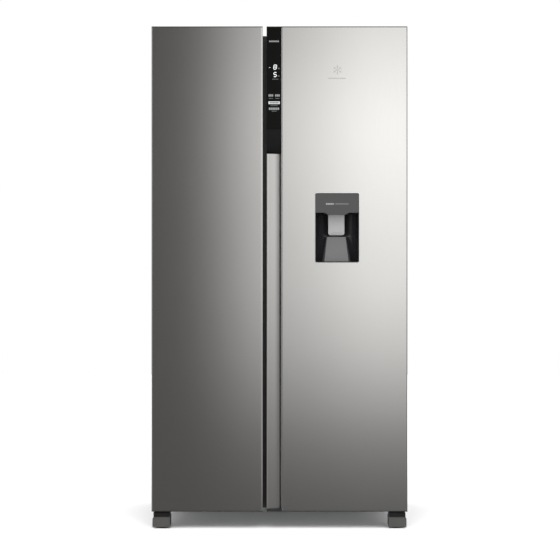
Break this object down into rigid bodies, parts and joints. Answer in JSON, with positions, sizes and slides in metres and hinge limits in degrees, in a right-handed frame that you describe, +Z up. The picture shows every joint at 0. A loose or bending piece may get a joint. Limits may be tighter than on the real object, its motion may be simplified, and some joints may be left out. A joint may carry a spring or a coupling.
{
  "type": "side by side refrigerator",
  "caption": "Side by side refrigerator with a freezer door, a refrigerator door, a recessed finger channel, a control panel and a water dispenser.",
  "frame": {"origin": "on the floor under the middle of the bounding box", "axes": "+Z up, +X to the viewer's right, the doors face -Y"},
  "size_m": [0.911, 0.706, 1.788],
  "materials": {
    "steel": "satin",
    "channel": "satin",
    "case_paint": "satin",
    "zinc": "matte",
    "cap_plastic": "satin",
    "foot_plastic": "matte",
    "bracket_black": "satin",
    "foam": "matte",
    "liner_white": "satin",
    "gasket_rubber": "matte",
    "clear_plastic": "gloss",
    "shelf_glass": "gloss",
    "panel_glass": "gloss",
    "panel_black": "gloss",
    "dispenser_black": "gloss",
    "dispenser_grey": "satin",
    "ramp_grey": "satin",
    "paddle_silver": "satin",
    "compressor_black": "gloss",
    "roller_plastic": "matte"
  },
  "bodies": {
    "cabinet": {"outer_case": "case_paint", "insulation_foam": "foam", "freezer_liner": "liner_white", "fridge_liner": "liner_white", "base_pan": "zinc", "evaporator_cover": "liner_white", "air_duct_panel": "liner_white", "freezer_shelf_lower": "shelf_glass", "freezer_shelf_middle": "shelf_glass", "freezer_shelf_upper": "shelf_glass", "fridge_shelf_lower": "shelf_glass", "fridge_shelf_middle": "shelf_glass", "fridge_shelf_upper": "shelf_glass", "top_hinge_left": "zinc", "top_hinge_right": "zinc", "hinge_cover_left": "cap_plastic", "hinge_cover_right": "cap_plastic", "bottom_hinge_left": "bracket_black", "bottom_hinge_right": "bracket_black", "front_foot_left": "foot_plastic", "front_foot_right": "foot_plastic", "compressor": "compressor_black", "machine_cover": "zinc", "mains_inlet": "cap_plastic"},
    "freezer_door": {"freezer_door_skin": "steel", "freezer_door_top_cap": "cap_plastic", "freezer_door_bottom_cap": "cap_plastic", "freezer_door_foam": "foam", "freezer_door_liner": "liner_white", "freezer_door_gasket": "gasket_rubber", "freezer_bin_lower": "clear_plastic", "freezer_bin_middle": "clear_plastic", "freezer_bin_upper": "clear_plastic"},
    "fridge_door": {"fridge_door_skin": "steel", "fridge_door_top_cap": "cap_plastic", "fridge_door_bottom_cap": "cap_plastic", "fridge_door_foam": "foam", "fridge_door_liner": "liner_white", "fridge_door_gasket": "gasket_rubber", "fridge_bin_lower": "clear_plastic", "fridge_bin_middle": "clear_plastic", "fridge_bin_upper": "clear_plastic", "handle_channel": "channel", "control_glass": "panel_glass", "control_housing": "panel_black", "dispenser_housing": "dispenser_black", "dispenser_fascia": "dispenser_grey", "dispenser_ramp": "ramp_grey", "water_tank": "clear_plastic"},
    "freezer_drawer_lower": {"freezer_drawer_lower": "clear_plastic"},
    "freezer_drawer_upper": {"freezer_drawer_upper": "clear_plastic"},
    "crisper_lower": {"crisper_lower": "clear_plastic"},
    "crisper_upper": {"crisper_upper": "clear_plastic"},
    "leveller_left": {"leveller_left": "bracket_black"},
    "leveller_right": {"leveller_right": "bracket_black"},
    "rear_roller_left": {"rear_roller_left": "roller_plastic"},
    "rear_roller_right": {"rear_roller_right": "roller_plastic"},
    "cooling_fan": {"cooling_fan": "cap_plastic"},
    "dispenser_paddle": {"dispenser_paddle": "paddle_silver"},
    "tank_lid": {"tank_lid": "liner_white"}
  },
  "joints": [
    {"name": "freezer_door_hinge", "type": "hinge", "parent": "cabinet", "child": "freezer_door", "pos_m": [-0.437, -0.323, 0.9], "axis": [0, 0, -1], "range_deg": [0, 115]},
    {"name": "fridge_door_hinge", "type": "hinge", "parent": "cabinet", "child": "fridge_door", "pos_m": [0.437, -0.323, 0.9], "axis": [0, 0, 1], "range_deg": [0, 115]},
    {"name": "freezer_drawer_lower_slide", "type": "slide", "parent": "cabinet", "child": "freezer_drawer_lower", "axis": [0, -1, 0], "range_m": [0, 0.25]},
    {"name": "freezer_drawer_upper_slide", "type": "slide", "parent": "cabinet", "child": "freezer_drawer_upper", "axis": [0, -1, 0], "range_m": [0, 0.25]},
    {"name": "crisper_lower_slide", "type": "slide", "parent": "cabinet", "child": "crisper_lower", "axis": [0, -1, 0], "range_m": [0, 0.25]},
    {"name": "crisper_upper_slide", "type": "slide", "parent": "cabinet", "child": "crisper_upper", "axis": [0, -1, 0], "range_m": [0, 0.25]},
    {"name": "dispenser_paddle_pivot", "type": "hinge", "parent": "fridge_door", "child": "dispenser_paddle", "pos_m": [0.2036, -0.314, 1.129], "axis": [1, 0, 0], "range_deg": [0, 10], "stiffness_Nm_per_rad": 0.4, "springref_deg": -5.73},
    {"name": "tank_lid_hinge", "type": "hinge", "parent": "fridge_door", "child": "tank_lid", "pos_m": [0.202, -0.2884, 1.3285], "axis": [1, 0, 0], "range_deg": [0, 85]},
    {"name": "cooling_fan_spin", "type": "hinge", "parent": "cabinet", "child": "cooling_fan", "pos_m": [0.079, 0.26, 0.185], "axis": [1, 0, 0], "continuous": true},
    {"name": "leveller_left_turn", "type": "hinge", "parent": "cabinet", "child": "leveller_left", "pos_m": [-0.4215, -0.302, 0.02], "axis": [0, 0, 1], "continuous": true},
    {"name": "leveller_right_turn", "type": "hinge", "parent": "cabinet", "child": "leveller_right", "pos_m": [0.4215, -0.302, 0.02], "axis": [0, 0, 1], "continuous": true},
    {"name": "rear_roller_left_spin", "type": "hinge", "parent": "cabinet", "child": "rear_roller_left", "pos_m": [-0.4, 0.29, 0.025], "axis": [1, 0, 0], "continuous": true},
    {"name": "rear_roller_right_spin", "type": "hinge", "parent": "cabinet", "child": "rear_roller_right", "pos_m": [0.4, 0.29, 0.025], "axis": [1, 0, 0], "continuous": true}
  ],
  "couplings": [
    {"joint": "freezer_drawer_lower_slide", "follows": "freezer_door_hinge", "m_per_rad": 0.1245},
    {"joint": "freezer_drawer_upper_slide", "follows": "freezer_door_hinge", "m_per_rad": 0.1245},
    {"joint": "crisper_lower_slide", "follows": "fridge_door_hinge", "m_per_rad": 0.1245},
    {"joint": "crisper_upper_slide", "follows": "fridge_door_hinge", "m_per_rad": 0.1245}
  ]
}
